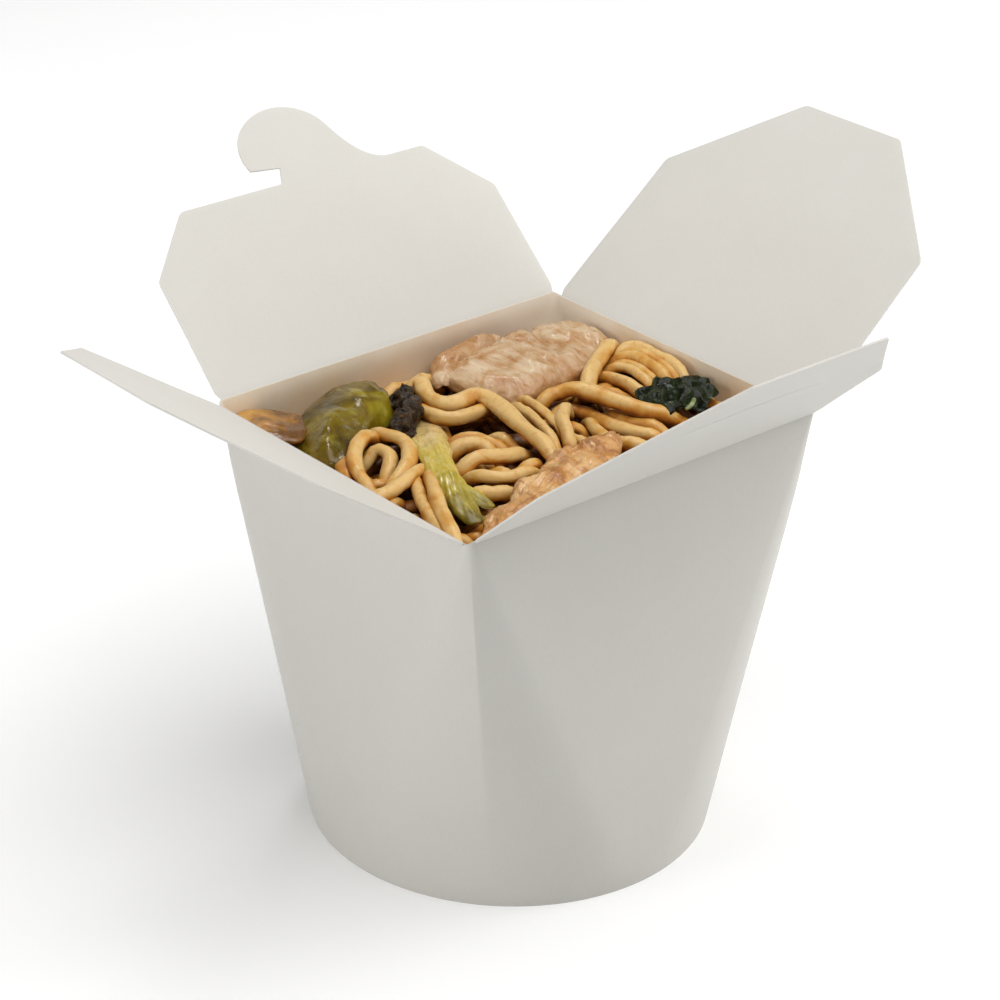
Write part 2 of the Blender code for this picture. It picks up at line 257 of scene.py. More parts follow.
def stainAndLightNode(tree):
    wander = mathNode(tree, "MULTIPLY_ADD", noiseNode(tree, 7.0, 4.0), 0.0030, -0.0015)
    level = mathNode(tree, "ADD", heightNode(tree), wander)
    soak = rangeNode(tree, level, stainAndLightFinish["start"], stainAndLightFinish["end"])
    patch = mathNode(tree, "MULTIPLY_ADD", noiseNode(tree, 22.0, 4.0), 1.6, -0.8)
    depth = mathNode(tree, "ADD", mathNode(tree, "MULTIPLY", soak, 0.8), patch)
    lean = vectorNode(tree, "DOT_PRODUCT", stainAndLightFinish["lean"])
    depth = mathNode(tree, "ADD", depth, mathNode(tree, "ADD", lean, stainAndLightFinish["even"]))
    away = vectorNode(tree, "DISTANCE", stainAndLightFinish["litSpot"])
    depth = mathNode(tree, "ADD", depth, rangeNode(tree, away, *stainAndLightFinish["litSpotReach"], -0.7, 0.0))
    return rampNode(tree, depth, (0.05, stainAndLightFinish["light"]), (0.9, stainAndLightFinish["deep"]))


def vectorNode(tree, operation, place):
    node = tree.nodes.new("ShaderNodeVectorMath")
    node.operation = operation
    node.inputs[1].default_value = place
    tree.links.new(placeNode(tree), node.inputs[0])
    return node.outputs["Value"]


board = makeBoard("board")
# the outside is darker: partly a duller outer coat, partly painted shade on the walls and the flaps'
# outer faces
outerCoatShadeBoard = makeBoard("boardOutsideCoatShade", boardFinish["outsideCoatShade"])
stainedLitBoard = makeBoard("boardStainedPaintedLight", withStainAndLight=True)
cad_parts["base_disc"].data.materials.clear()
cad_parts["base_disc"].data.materials.append(board)


# ---- the wall: one sheet from the hem up to the folds and down inside ----

box = dict(
    length=100.0, width=86.2, corner=1.6, baseRadius=46.8, paper=0.45,
    sideFold=99.4, endFold=100.2, around=288, levels=28, sideShare=12.0,
    skirtInset=1.1, hemGap=0.4, hemHeight=4.6, rolled=0.2,
    crease=0.65, creaseReach=3.6, creaseFade=0.2, pinch=0.9, pinchReach=8.0,
    lid=98.9, lidSlope=0.0262, lidEnd=(21.0, 19.0), lidSoft=0.6)  # the underside of the shut side flaps


def wallPoint(angle, level, inset):
    quarter = int((angle + 45.0) // 90.0) % 4  # the side that the angle is nearest to
    away = (angle + 45.0) % 90.0 - 45.0
    half = box["sideShare"] / 2
    radius = max(box["corner"] - inset, 0.05)
    size = Vector((box["length"] / 2 - inset, box["width"] / 2 - inset))
    reach = (size.y, size.x)[quarter % 2] - radius
    out = (size.x, size.y)[quarter % 2]
    turn = 0.0
    if abs(away) <= half:
        rim = Vector((out, reach * away / half))
    else:
        turn = math.copysign(45.0 * (abs(away) - half) / (45.0 - half), away)
        middle = Vector((out - radius, math.copysign(reach, away)))
        swing = math.radians(turn)
        rim = middle + radius * Vector((math.cos(swing), math.sin(swing)))
    rim = Matrix.Rotation(math.radians(90.0 * quarter), 2) @ rim
    base = Vector((math.cos(math.radians(angle)), math.sin(math.radians(angle))))
    facing = math.sin(math.radians(90.0 * quarter + turn)) ** 2
    point = (base * (box["baseRadius"] - inset)).lerp(rim, level)
    diagonal = Vector((math.copysign(1.0, base.x), math.copysign(1.0, base.y))) * math.sqrt(0.5)
    rimCorner = Vector((box["length"], box["width"])) / 2 - Vector((inset + radius, inset + radius))
    rimCorner = Vector((math.copysign(rimCorner.x, base.x), math.copysign(rimCorner.y, base.y)))
    fold = (diagonal * (box["baseRadius"] - inset)).lerp(rimCorner + diagonal * radius, level)
    lift = smoothStep(0.0, 0.75, level) * smoothStep(1.0, 1.0 - box["creaseFade"], level)
    away = (point - fold).length
    ridge = box["crease"] * math.exp(-away / box["creaseReach"])
    if diagonal.x < 0.0 and diagonal.y < 0.0:  # this corner is pinched harder than the others
        ridge += box["pinch"] * math.exp(-away / box["pinchReach"])
    return point + diagonal * ridge * lift, facing


def makeWall():
    paper = box["paper"]
    rolled = box["rolled"]
    hem = box["skirtInset"] + paper + box["hemGap"]
    rows = [(0.0, 0.06, 0.0, 0), (0.0, 0.0, 0.06 + rolled, 0)]
    rows += [(index / box["levels"], 0.0, 0.0, 0) for index in range(1, box["levels"] + 1)]
    for turn in (45.0, 90.0, 135.0):  # the sheet's rounded top
        swing = math.radians(turn)
        rows.append((1.0, paper / 2 * (1.0 - math.cos(swing)), paper / 2 * math.sin(swing), 0))
    rows += [(index / box["levels"], paper, 0.0, 1) for index in range(box["levels"], 0, -1)]
    rows += [(0.0, paper, paper, 1), (0.0, hem, paper, 1), (0.0, hem, box["hemHeight"], 1),
             (0.0, hem + paper, box["hemHeight"], 1), (0.0, hem + paper, rolled, 0),
             (0.0, hem + paper - rolled, 0.0, 0)]
    bm = bmesh.new()
    ring = bmesh.ops.create_circle(bm, segments=box["around"], radius=box["baseRadius"])["verts"]
    angles = ringAngles(ring)
    firstEdges = edges = bm.edges[:]
    for number, (level, inset, lift, side) in enumerate(rows):
        if number:
            ring, edges, faces = extrudeRing(bm, ring, edges)
            for face in faces:
                face.material_index = side
        for vert, angle in zip(ring, angles):
            point, facing = wallPoint(angle, level, inset)
            top = box["sideFold"] + (box["endFold"] - box["sideFold"]) * facing
            vert.co = (point.x, point.y, top * level + lift)
    bmesh.ops.bridge_loops(bm, edges=edges + firstEdges)
    return finishPiece("wall", bm, (outerCoatShadeBoard, stainedLitBoard), angle=50.0)


wall = makeWall()
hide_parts("box_wall")
print("wall made")


# ---- the flaps: flat boards cut to shape and set up at the rim, whose rounded fold the wall makes ----

sideFlap = dict(root=41.1, shoulder=(41.1, 42.7), tip=(14.9, 68.6))
flapSizes = {
    "flap_left": dict(sideFlap, body="left_body", side=180.0, raised=34.2),
    "flap_right": dict(sideFlap, body="right_body", side=0.0, raised=39.4),
    "flap_tab": dict(body="tab_body", side=90.0, raised=42.8, root=48.6,
                     shoulder=(48.9, 30.3), tip=(35.2, 44.9)),
    "flap_slot": dict(body="slot_body", side=270.0, raised=42.8, root=48.6,
                      shoulder=(48.8, 25.0), tip=(19.2, 61.7)),
}
flapCut = dict(
    relief=(0.8, 1.9), rounding=1.0, grid=3.5, wave=0.16, waveSize=30.0,
    slitReach=40.0, slitHalf=20.0, slitSag=2.2, slitWidth=0.5)
tongue = dict(
    halfWidth=13.4, centre=53.0, rise=10.9, start=-17.0, end=157.0, steps=30,
    throat=(-5.0, 48.8), notch=(-6.7, 44.9),
    fillet=((25.0, 44.9), (18.0, 45.3)), pull=(2.6, -5.6))


def tongueEdge():
    points = []
    for step in range(tongue["steps"] + 1):
        angle = tongue["end"] + (tongue["start"] - tongue["end"]) * step / tongue["steps"]
        turn = math.radians(angle)
        points.append(Vector((-tongue["halfWidth"] * math.cos(turn),
                              tongue["centre"] + tongue["rise"] * math.sin(turn))))
    start, handle = (Vector(point) for point in tongue["fillet"])
    pull = points[0] + Vector(tongue["pull"])
    fillet = []
    for step in range(12):
        t = step / 12
        fillet.append(start * (1 - t) ** 3 + handle * 3 * t * (1 - t) ** 2
                      + pull * 3 * t * t * (1 - t) + points[0] * t ** 3)
    return fillet + points + [Vector(tongue["throat"]), Vector(tongue["notch"])]


def roundedCorner(before, corner, after, radius):
    start = corner + (before - corner).normalized() * radius
    end = corner + (after - corner).normalized() * radius
    points = []
    for step in range(5):
        t = step / 4
        points.append(start * (1 - t) ** 2 + corner * 2 * t * (1 - t) + end * t * t)
    return points


def flapOutline(name, size):
    relief, reliefReach = flapCut["relief"]
    root = size["root"]
    shoulder = Vector(size["shoulder"])
    tip = Vector(size["tip"])
    waist = Vector((root + relief, reliefReach))
    mirror = Vector((-1, 1))
    right = [Vector((root, 0.0)), waist]
    right += roundedCorner(waist, shoulder, tip, flapCut["rounding"])
    right += roundedCorner(shoulder, tip, Vector((0, tip.y)), flapCut["rounding"])
    left = [point * mirror for point in reversed(right)]
    return right + (tongueEdge() if name == "flap_tab" else []) + left


def addLoop(bm, points):
    verts = [bm.verts.new((point.x, point.y, 0.0)) for point in points]
    for index, vert in enumerate(verts):
        bm.edges.new((vert, verts[(index + 1) % len(verts)]))


def makeFlap(name, size):
    bm = bmesh.new()
    addLoop(bm, flapOutline(name, size))
    if name == "flap_slot":
        near = []
        far = []
        for step in range(21):
            share = step / 10 - 1.0
            width = flapCut["slitWidth"] / 2 * (1.0 - abs(share) ** 6) + 0.02
            y = flapCut["slitReach"] - flapCut["slitSag"] * share * share
            near.append(Vector((flapCut["slitHalf"] * share, y - width)))
            far.append(Vector((flapCut["slitHalf"] * share, y + width)))
        addLoop(bm, near + far[::-1])
    bmesh.ops.triangle_fill(bm, use_beauty=True, edges=bm.edges[:])
    for axis, count in ((Vector((1, 0, 0)), 14), (Vector((0, 1, 0)), 20)):
        for index in range(-count, count + 1):
            place = axis * flapCut["grid"] * (index + 0.5)
            bmesh.ops.bisect_plane(bm, geom=bm.verts[:] + bm.edges[:] + bm.faces[:],
                                   plane_co=place, plane_no=axis, dist=0.0005)
    seed = size["side"] * 0.1
    for vert in bm.verts:
        free = smoothStep(0.0, 20.0, vert.co.y)
        wave = noise.noise(Vector((vert.co.x, vert.co.y, seed)) / flapCut["waveSize"])
        vert.co.z += flapCut["wave"] * free * wave
    bmesh.ops.recalc_face_normals(bm, faces=bm.faces)
    if sum(face.normal.z for face in bm.faces) < 0.0:
        bmesh.ops.reverse_faces(bm, faces=bm.faces)
    onSide = size["side"] % 180.0 == 0.0
    out = box["length"] / 2 if onSide else box["width"] / 2
    height = box["sideFold"] if onSide else box["endFold"]
    turn = Matrix.Rotation(math.radians(size["side"] - 90.0), 4, "Z")
    lift = Matrix.Rotation(math.radians(size["raised"]), 4, "X")
    place = turn @ Matrix.Translation((0, out, height)) @ lift
    bmesh.ops.transform(bm, matrix=place, verts=bm.verts)
    flap = finishPiece(name + "_board", bm, (board, outerCoatShadeBoard), size["body"], recalc=False)
    solid = flap.modifiers.new("paper", "SOLIDIFY")
    solid.thickness = box["paper"] * mm
    solid.offset = 0.0
    solid.material_offset = 1
    edge = flap.modifiers.new("edge", "BEVEL")
    edge.width = 0.18 * mm
    edge.segments = 3
    edge.limit_method = "ANGLE"
    edge.angle_limit = math.radians(60.0)
    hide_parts(name)


for name, size in flapSizes.items():
    makeFlap(name, size)
print("flaps made")


# ---- the toppings: the noodles keep clear of these, and most are laid along them ----

toppings = {
    "pepper": dict(path=((-11.0, 35.8, 94.4), (-25.4, 29.4, 95.2), (-40.5, 14.0, 92.6)),
                   width=19.0, thickness=5.6, arch=3.4, blunt=2.6, cross=2.3),
    "mushroom": dict(path=((-7.0, 31.5, 94.2), (-13.6, 21.4, 94.8), (-22.5, 11.5, 93.6)),
                     width=6.6, thickness=4.6, arch=0.4, blunt=2.6, cross=2.0),
    "leek": dict(path=((-15.0, 12.0, 94.4), (-25.5, -7.0, 94.9), (-36.0, -27.0, 92.4)),
                 width=8.2, thickness=3.4, arch=1.6, blunt=3.4),
    "chicken_back": dict(path=((4.0, 26.0, 93.4), (25.2, 27.4, 94.6), (46.6, 29.0, 93.6)),
                         width=28.0, thickness=7.4, arch=1.6, blunt=2.4, cross=2.6),
    "chicken_front": dict(path=((-41.5, -37.6, 92.0), (-15.5, -27.6, 94.2), (14.0, -15.0, 94.4)),
                          width=14.0, thickness=4.2, arch=0.8, blunt=3.0, cross=2.4),
    "spinach": dict(path=((30.6, -7.0, 95.0), (39.1, -10.0, 96.3), (48.0, -11.5, 96.2)),
                    width=15.0, thickness=2.0, arch=1.4, blunt=2.4, cross=2.0),
    "carrot": dict(path=((-47.0, 38.4, 95.2), (-42.6, 34.4, 95.6), (-37.6, 30.6, 94.6)),
                   width=9.0, thickness=2.6, arch=0.3, blunt=3.4),
}


def curvePoint(path, t):
    start, middle, end = (Vector(point) for point in path)
    return (start * (2 * t - 1) * (t - 1) + middle * 4 * t * (1 - t) + end * t * (2 * t - 1))


def curveFrame(path, t):
    forward = (curvePoint(path, t + 0.01) - curvePoint(path, t - 0.01)).normalized()
    aside = Vector((0, 0, 1)).cross(forward).normalized()
    return aside, forward.cross(aside)


def layOn(verts, shape, narrow=None, relief=None):
    for vert in verts:
        along, across, above = vert.co
        t = 0.5 + 0.5 * along
        full = (1.0 - min(abs(along), 0.9999) ** shape["blunt"]) ** (1.0 / shape["blunt"])
        ring = math.hypot(across, above) or 1.0
        a = signedPower(across / ring, 2.0 / shape["cross"])
        b = signedPower(above / ring, 2.0 / shape["cross"])
        aside, up = curveFrame(shape["path"], t)
        halfWidth = shape["width"] / 2 * full * (narrow(t, a) if narrow else 1.0)
        halfThick = shape["thickness"] / 2 * full
        droop = shape["arch"] * full * a * a
        point = curvePoint(shape["path"], t) + aside * (a * halfWidth)
        point += up * (b * halfThick - droop)
        if relief:
            point += up * relief(t, a, point) * (1.0 if above > 0 else 0.3)
        vert.co = point


def roughen(bm, *layers):  # each layer: size, depth and, where it isn't even, stretch
    bm.normal_update()
    moves = []
    for vert in bm.verts:
        push = 0.0
        for size, depth, *stretch in layers:
            place = Vector(a * b for a, b in zip(vert.co, *stretch)) if stretch else vert.co
            push += depth * noise.noise(place / size)
        moves.append(vert.normal * push)
    for vert, move in zip(bm.verts, moves):
        place = vert.co + move
        place.z = underLid(place.x, place.z)
        place.xy = insideWall(place.x, place.y, place.z, box["paper"] + 0.15)
        vert.co = place


def underLid(x, z, clear=0.0):
    slope = box["lidSlope"] * smoothStep(*box["lidEnd"], x)
    start = box["lid"] - slope * (x + box["length"] / 2) - box["lidSoft"] - clear
    if z <= start:
        return z
    return start + box["lidSoft"] * (1.0 - math.exp((start - z) / box["lidSoft"]))


def insideWall(x, y, z, inset):
    level = z / box["endFold"]
    radius = (1.0 - level) * box["baseRadius"] + level * box["corner"]
    core = Vector((level * (box["length"] / 2 - box["corner"]),
                   level * (box["width"] / 2 - box["corner"])))
    shrink = max(inset - radius, 0.0)
    radius = max(radius - inset, 0.0)
    hx, hy = core.x - shrink, core.y - shrink
    nearest = Vector((min(max(x, -hx), hx), min(max(y, -hy), hy)))
    away = Vector((x, y)) - nearest
    if away.length > radius:
        away = away.normalized() * radius
    return nearest + away


def sphereVerts(bm, subdivisions):
    start = len(bm.verts)
    bmesh.ops.create_icosphere(bm, subdivisions=subdivisions, radius=1.0)
    return bm.verts[:][start:]


def fibreRelief(point, turn, along, across):  # ridges that run one way over the meat
    swing = math.radians(turn)
    u = point.x * math.cos(swing) + point.y * math.sin(swing)
    v = point.y * math.cos(swing) - point.x * math.sin(swing)
    return 1.0 - 3.0 * abs(noise.noise(Vector((u / along, v / across, point.z * 0.2))))


def layTopping(node, name, material, parts, *layers):  # parts: fineness, shape, then its cut
    bm = bmesh.new()
    for subdivisions, shape, *cut in parts:
        layOn(sphereVerts(bm, subdivisions), shape, *cut)
    roughen(bm, *layers)
    piece = finishPiece(name, bm, (material,), angle=180.0)
    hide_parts(node)
    return piece


def setAlong(piece, shape):
    start, end = Vector(shape["path"][0]), Vector(shape["path"][2])
    run = end - start
    layer = piece.data.attributes.new("along", "FLOAT", "POINT")
    for vert, value in zip(piece.data.vertices, layer.data):
        point = (vert.co - boxPlace) / mm
        value.value = (point - start).dot(run) / run.length_squared


# -- green pepper --

pepperFinish = dict(
    dark=(0.052, 0.032, 0.002), olive=(0.150, 0.098, 0.004), green=(0.285, 0.222, 0.010),
    streak=(0.40, 0.33, 0.06), gloss=(4.0, 3.0, 0.35, 0.7, 0.16, 0.4))


def pepperMaterial():
    material, tree = startMaterial(
        "pepperSkin", Specular_IOR_Level=0.3, Coat_Weight=0.25, Coat_Roughness=0.1,
        Subsurface_Weight=0.08, Subsurface_Scale=0.0015)
    color = rampNode(tree, noiseNode(tree, 10.0, 3.0, 0.5), (0.32, pepperFinish["dark"]),
                     (0.48, pepperFinish["olive"]), (0.68, pepperFinish["green"]))
    streak = noiseNode(tree, 3.0, 3.0, 0.3, (1.0, 0.45, 1.0), 38.0)
    color = mixNode(tree, rangeNode(tree, streak, 0.56, 0.76, 0.0, 0.5), color, pepperFinish["streak"])
    speckle = noiseNode(tree, 0.7, 2.0)
    color = mixNode(tree, rangeNode(tree, speckle, 0.5, 0.8, 0.0, 0.35), color, pepperFinish["dark"])
    coverWith(tree, color, pepperFinish["gloss"], (noiseNode(tree, 2.4, 2.0), 0.3, 0.9),
              (speckle, 0.05, 0.6))
    return material


def makePepper():
    def relief(t, a, point):
        return 0.4 * math.cos(a * 6.0 + 1.2) * (1.0 - a * a) + 0.25 * math.sin(t * 9.0)

    part = (6, toppings["pepper"], lambda t, a: 0.94 + 0.12 * math.sin(t * 5.0 + a), relief)
    layTopping("pepper", "pepperStrip", pepperMaterial(), [part], (7.0, 0.9), (2.2, 0.22))


# -- mushroom --

mushroomFinish = dict(
    patch=(2.0, 4.0, 0.6), grain=(1.1, 4.0), bump=(0.5, 1.0),
    stops=((0.4, (0.010, 0.005, 0.002)), (0.62, (0.050, 0.025, 0.008)), (0.8, (0.15, 0.085, 0.03))),
    gloss=(1.8, 3.0, 0.35, 0.7, 0.14, 0.5), shader=dict(Specular_IOR_Level=0.2))


def makeMushroom():
    def frill(t, a, point):
        folds = 1.0 - 2.6 * abs(noise.noise(point * 0.34))
        return 0.9 * folds + 0.5 * math.sin(t * 26.0 + a * 4.0)

    part = (6, toppings["mushroom"], lambda t, a: 0.85 + 0.3 * math.sin(t * 13.0 + 2.0 * a), frill)
    layTopping("mushroom", "mushroomStrip", plainFood("mushroomSkin", mushroomFinish), [part],
               (3.4, 1.3), (1.5, 0.5), (0.6, 0.08))


# -- leek --

leekFinish = dict(
    pale=(0.62, 0.43, 0.16), mid=(0.58, 0.43, 0.09), green=(0.50, 0.385, 0.036),
    deep=(0.15, 0.115, 0.010), fibre=(0.70, 0.57, 0.24), gloss=(3.0, 3.0, 0.35, 0.7, 0.2, 0.45))
leekShapes = dict(
    leaf=dict(path=((-8.6, 22.4, 90.8), (-24.6, -2.6, 95.8), (-31.0, -23.6, 91.0)),
              width=7.4, thickness=1.8, arch=1.3, blunt=3.6, cross=2.4),
    fork=dict(path=((-28.4, -10.6, 94.4), (-26.0, -15.4, 93.4), (-23.2, -19.8, 90.8)),
              width=4.4, thickness=1.5, arch=0.8, blunt=3.0, cross=2.2))


def leekMaterial():
    material, tree = startMaterial(
        "leekLayers", Specular_IOR_Level=0.4, Coat_Weight=0.25, Coat_Roughness=0.15,
        Subsurface_Weight=0.2, Subsurface_Scale=0.002)
    patch = mathNode(tree, "MULTIPLY_ADD", noiseNode(tree, 5.0, 3.0), 0.6, -0.3)
    place = mathNode(tree, "ADD", attributeNode(tree, "along"), patch)
    color = rampNode(tree, place, (0.25, leekFinish["pale"]), (0.45, leekFinish["mid"]),
                     (0.72, leekFinish["green"]), (0.98, leekFinish["deep"]))
    fibre = noiseNode(tree, 0.9, 3.0, 0.2, (1.0, 0.22, 0.4), 28.0)
    color = mixNode(tree, rangeNode(tree, fibre, 0.45, 0.78, 0.0, 0.35), color, leekFinish["fibre"])
    coverWith(tree, color, leekFinish["gloss"], (fibre, 0.12, 0.7))
    return material


def makeLeek():
    def channel(t, a, point):
        gutter = -0.8 * math.exp(-((a + 0.15) / 0.4) ** 2) * (1.15 - t)
        return (gutter + 0.14 * fibreRelief(point, 62.0, 12.0, 1.3)) * smoothStep(0.04, 0.3, t)

    def taper(t, a):
        return 1.4 - 0.45 * smoothStep(0.18, 0.5, t) + 0.06 * math.sin(t * 15.0 + a * 2.0)

    parts = [(6, leekShapes["leaf"], taper, channel),
             (5, leekShapes["fork"], None, lambda t, a, point: 0.14 * math.cos(a * 9.0))]
    piece = layTopping("leek", "leekStrip", leekMaterial(), parts, (7.0, 1.0), (2.4, 0.24))
    setAlong(piece, leekShapes["leaf"])


# -- chicken --

chickenFinish = {
    "chickenPale": dict(meat=(0.51, 0.315, 0.155), brown=(0.40, 0.175, 0.045),
                        pale=(0.63, 0.47, 0.30), turn=62.0),
    "chickenBrown": dict(meat=(0.57, 0.285, 0.085), brown=(0.36, 0.140, 0.028),
                         pale=(0.68, 0.43, 0.19), turn=24.0),
}
chickenShapes = dict(
    body=dict(toppings["chicken_back"], width=27.0, blunt=2.9,
              path=((5.0, 23.4, 93.2), (26.4, 25.2, 94.9), (48.4, 26.2, 94.0))),
    roll=dict(path=((3.4, 29.0, 93.6), (12.4, 36.6, 95.5), (26.4, 37.2, 96.4)),
              width=7.0, thickness=3.6, arch=1.6, blunt=2.6, cross=2.2))


def chickenMaterial(name):
    finish = chickenFinish[name]
    material, tree = startMaterial(
        name, Specular_IOR_Level=0.45, Coat_Weight=0.3, Coat_Roughness=0.18,
        Subsurface_Weight=0.12, Subsurface_Scale=0.002)
    broad = noiseNode(tree, 7.0, 5.0, 0.8)
    color = rampNode(tree, broad, (0.34, finish["brown"]), (0.48, finish["meat"]),
                     (0.66, finish["pale"]))
    grain = noiseNode(tree, 1.5, 5.0, 0.5, (1.0, 0.22, 0.6), finish["turn"])
    color = mixNode(tree, rangeNode(tree, grain, 0.52, 0.72, 0.0, 0.65), color, finish["pale"])
    color = mixNode(tree, rangeNode(tree, grain, 0.48, 0.3, 0.0, 0.75), color, finish["brown"])
    edge = mathNode(tree, "MULTIPLY", attributeNode(tree, "edge"), 0.8)
    color = mixNode(tree, edge, color, finish["brown"])
    coverWith(tree, color, (2.4, 4.0, 0.38, 0.62, 0.2, 0.6), (grain, 0.35, 1.0),
              (noiseNode(tree, 0.7, 4.0), 0.12, 0.8))
    return material


def setEdge(piece, shape, start):
    layer = piece.data.attributes.new("edge", "FLOAT", "POINT")
    samples = [curvePoint(shape["path"], index / 20) for index in range(21)]
    for vert, value in zip(piece.data.vertices, layer.data):
        point = (vert.co - boxPlace) / mm
        near = min((point - sample).xy.length for sample in samples)
        uneven = 0.25 * noise.noise(point * 0.3)
        value.value = smoothStep(start, 1.05, near / (shape["width"] / 2) + uneven)


def makeChickenBack():
    def torn(t, a):
        return 0.97 + 0.1 * noise.noise(Vector((t * 6.0, math.copysign(2.0, a), 0.3)))

    def folds(t, a, point):
        notch = -1.6 * math.exp(-((t - 0.30 + a * 0.1) / 0.022) ** 2 - ((a - 0.35) / 0.35) ** 2)
        dip = -1.1 * math.exp(-((t - 0.62 - a * 0.12) / 0.035) ** 2) * smoothStep(-0.6, 0.2, a)
        fibres = 0.26 * fibreRelief(point, 62.0, 9.0, 1.7)
        return notch + dip + fibres + 0.55 * math.sin(t * 8.0 + a * 2.0)

    def rolled(t, a, point):
        return 0.3 * math.sin(t * 17.0 + 3.0 * a) + 0.2 * fibreRelief(point, 30.0, 7.0, 1.5)

    parts = [(6, chickenShapes["body"], torn, folds),
             (6, chickenShapes["roll"], lambda t, a: 1.0 + 0.14 * math.sin(t * 15.0 + a * 2.0), rolled)]
    piece = layTopping("chicken_back", "chickenBackSlice", chickenMaterial("chickenPale"), parts,
                       (9.0, 0.8), (3.4, 0.42), (1.2, 0.16, (1, 0.6, 1)), (0.5, 0.07))
    setEdge(piece, chickenShapes["body"], 0.54)


def makeChickenFront():
    def torn(t, a):
        return 0.95 + 0.24 * noise.noise(Vector((t * 9.0, math.copysign(2.0, a), 5.3)))

    def grain(t, a, point):
        return 0.3 * math.sin(t * 22.0 + a * 3.0) + 0.35 * fibreRelief(point, 24.0, 4.0, 1.6)

    shape = toppings["chicken_front"]
    piece = layTopping("chicken_front", "chickenFrontSlice", chickenMaterial("chickenBrown"),
                       [(6, shape, torn, grain)], (6.0, 0.9), (2.2, 0.45), (0.9, 0.24), (0.45, 0.08))
    setEdge(piece, shape, 0.9)


# -- spinach --

leafFinish = dict(
    patch=(2.5, 4.0, 0.5), grain=(1.5, 3.0), bump=(0.35, 0.9),
    stops=((0.38, (0.004, 0.005, 0.001)), (0.6, (0.012, 0.020, 0.004)), (0.8, (0.040, 0.062, 0.012))),
    gloss=(2.2, 3.0, 0.35, 0.7, 0.14, 0.45), shader=dict(Specular_IOR_Level=0.22))
# a pale stem bit on the leaf, partly a painted highlight
stemHighlightFinish = dict(
    patch=(1.2, 3.0, 0.0, (1, 0.3, 1)), grain=(1.2, 3.0, 0.0, (1, 0.3, 1)), bump=(0.1, 0.7),
    stops=((0.35, (0.12, 0.15, 0.04)), (0.7, (0.30, 0.34, 0.14))),
    shader=dict(Roughness=0.35, Coat_Weight=0.2))
stemHighlightShape = dict(path=((34.6, -17.6, 95.6), (36.6, -17.8, 96.4), (38.6, -16.2, 96.6)),
                 width=1.3, thickness=0.9, arch=0.0, blunt=3.0, cross=2.0)


def makeSpinach():
    def crumple(t, a, point):
        ridges = 1.0 - abs(noise.noise(point * 0.22)) * 4.0
        return 0.9 * ridges + 0.4 * math.sin(a * 7.0 + t * 6.0)

    leaf = (6, dict(toppings["spinach"], thickness=0.9, width=16.0),
            lambda t, a: 1.0 + 0.16 * math.sin(t * 15.0 + a), crumple)
    layTopping("spinach", "spinachLeaf", plainFood("spinachLeaf", leafFinish), [leaf],
               (3.0, 0.5), (1.2, 0.16))
    bm = bmesh.new()
    layOn(sphereVerts(bm, 4), stemHighlightShape)
    roughen(bm, (2.5, 0.3))
    finishPiece("spinachStemHighlight", bm, (plainFood("spinachStemHighlight", stemHighlightFinish),), angle=180.0)


# -- carrot --

carrotFinish = dict(
    dark=(0.15, 0.062, 0.012), mid=(0.38, 0.170, 0.022), pale=(0.52, 0.28, 0.06),
    gloss=(3.0, 3.0, 0.35, 0.7, 0.2, 0.45))
carrotShape = dict(path=((-48.8, 39.6, 95.2), (-43.0, 35.2, 95.6), (-35.6, 29.6, 94.0)),
                   width=15.0, thickness=2.0, arch=0.3, blunt=4.4, cross=3.0)


def carrotMaterial():
    material, tree = startMaterial(
        "carrotSlice", Specular_IOR_Level=0.4, Coat_Weight=0.3, Coat_Roughness=0.15,
        Subsurface_Weight=0.15, Subsurface_Scale=0.002)
    # painted shade: the slice darkens from its upper end toward its lower end
    patch = mathNode(tree, "ADD", noiseNode(tree, 5.0, 4.0, 0.5), 0.20)
    place = mathNode(tree, "MULTIPLY_ADD", attributeNode(tree, "along"), -0.5, patch)
    color = rampNode(tree, place, (0.28, carrotFinish["dark"]), (0.5, carrotFinish["mid"]),
                     (0.7, carrotFinish["pale"]))
    coverWith(tree, color, carrotFinish["gloss"], (noiseNode(tree, 1.2, 3.0), 0.15, 0.8))
    return material


def makeCarrot():
    piece = layTopping("carrot", "carrotSlice", carrotMaterial(), [(5, carrotShape)],
                       (4.0, 0.4), (1.2, 0.12))
    setAlong(piece, carrotShape)


makePepper()
makeMushroom()
makeLeek()
makeChickenBack()
makeChickenFront()
makeSpinach()
makeCarrot()
print("toppings made")


# ---- the noodles ----

noodle = dict(
    thickness=3.5, sides=12, step=1.4, wobble=0.11, flat=0.86, square=2.5, fillers=240, least=8.0,
    cell=0.6, floor=81.0, seed=11, squash=0.6, wallGap=0.6, sight=0.51, tuck=(2.4, 2.8),
    bundle=1.55, thin=1.15, bold=("longArc", "upright", "archway"), boldness=1.14,
    ends=((0.45, 0.35), (0.33, 0.72), (0.1, 0.94)), attempts=4200, trials=8)
